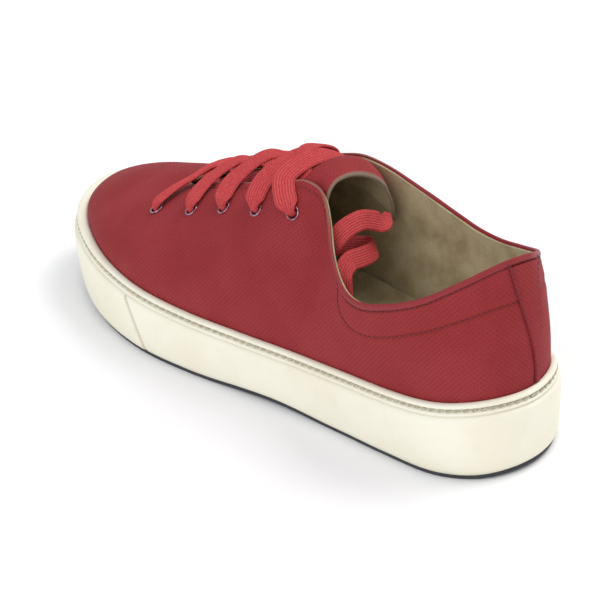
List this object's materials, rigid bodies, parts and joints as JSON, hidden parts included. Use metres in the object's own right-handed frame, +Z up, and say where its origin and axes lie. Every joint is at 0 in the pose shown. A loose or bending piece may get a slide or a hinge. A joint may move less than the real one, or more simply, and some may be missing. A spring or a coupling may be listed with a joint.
{
  "type": "canvas sneaker",
  "caption": "Low lace-up canvas sneaker for the left foot, on a thick cupsole with a treaded outsole, open at the collar, empty and unbent.",
  "frame": {"origin": "on the floor, under the middle of the shoe's box", "axes": "+Y from heel to toe, +X to the medial (big toe) side, +Z up"},
  "size_m": [0.0932, 0.2672, 0.0994],
  "materials": {
    "canvas": "matt coated twill canvas, dark red",
    "cream_rubber": "smooth satin cream rubber",
    "dark_rubber": "matt dark grey rubber",
    "lining": "matt brushed beige lining",
    "eyelet_metal": "satin enamelled eyelet",
    "lace": "matt flat woven lace, bright red"
  },
  "bodies": {
    "root": {"cupsole": "cream_rubber", "outsole": "dark_rubber", "upper": "canvas", "insole": "lining", "tongue": "canvas", "heel_strip": "canvas", "eyelet_lateral_1": "eyelet_metal", "eyelet_medial_1": "eyelet_metal", "eyelet_lateral_2": "eyelet_metal", "eyelet_medial_2": "eyelet_metal", "eyelet_lateral_3": "eyelet_metal", "eyelet_medial_3": "eyelet_metal", "eyelet_lateral_4": "eyelet_metal", "eyelet_medial_4": "eyelet_metal", "eyelet_lateral_5": "eyelet_metal", "eyelet_medial_5": "eyelet_metal", "lace_crossings": "lace", "lace_end": "lace"}
  },
  "joints": []
}
